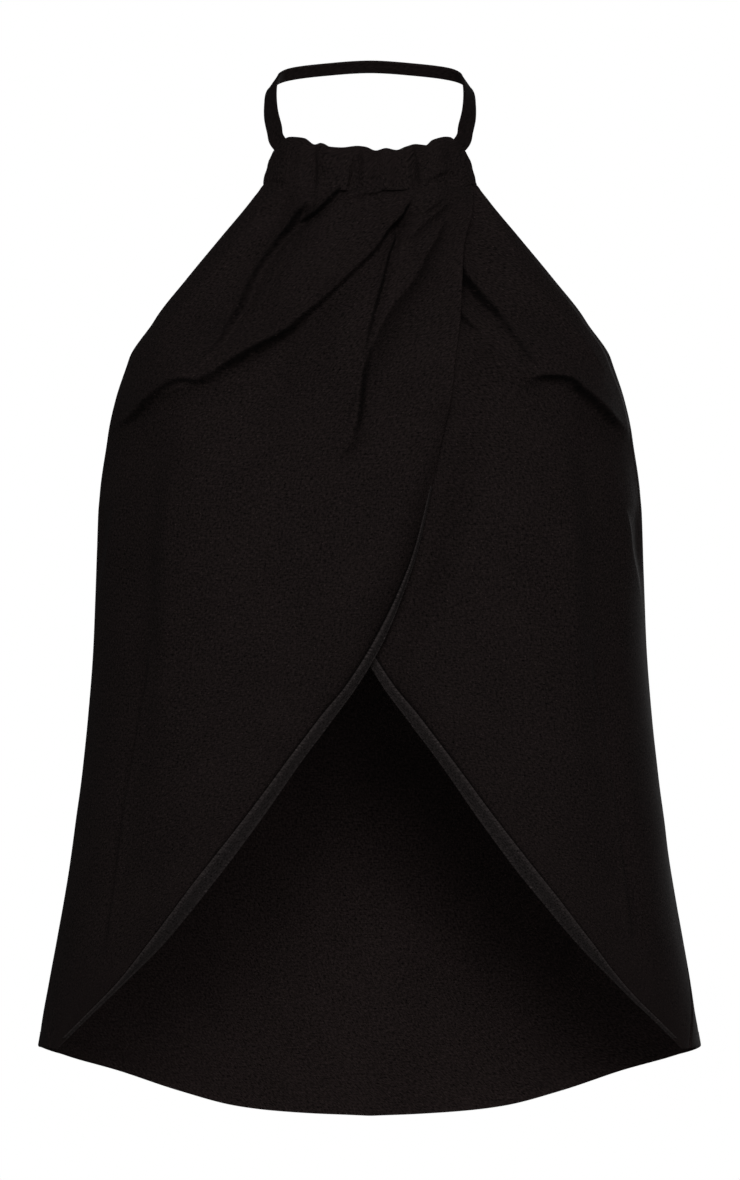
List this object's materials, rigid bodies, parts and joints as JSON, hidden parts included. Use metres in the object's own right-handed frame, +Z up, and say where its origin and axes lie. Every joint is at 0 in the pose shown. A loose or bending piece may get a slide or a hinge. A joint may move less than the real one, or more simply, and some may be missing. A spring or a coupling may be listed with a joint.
{
  "type": "halter neck top",
  "caption": "Sleeveless halter top with gathered neck casing, thin neck strap, crossed front panels that open below the waist and a longer dipped back.",
  "frame": {"origin": "inner face of the strap at the middle of the back of the neck, where the wearer holds the garment up", "axes": "+X to the right as seen from the front, +Y towards the back, +Z up"},
  "size_m": [0.4423, 0.2617, 0.7224],
  "materials": {
    "linen_cloth": "matt, slubby plain weave",
    "linen_edge": "matt, pressed and stitched folds of the same cloth"
  },
  "bodies": {
    "root": {"front_over": "linen_cloth", "front_under": "linen_cloth", "back": "linen_cloth", "neck_casing": "linen_cloth", "halter_strap": "linen_edge", "over_edge_binding": "linen_edge", "under_edge_binding": "linen_edge"}
  },
  "joints": []
}
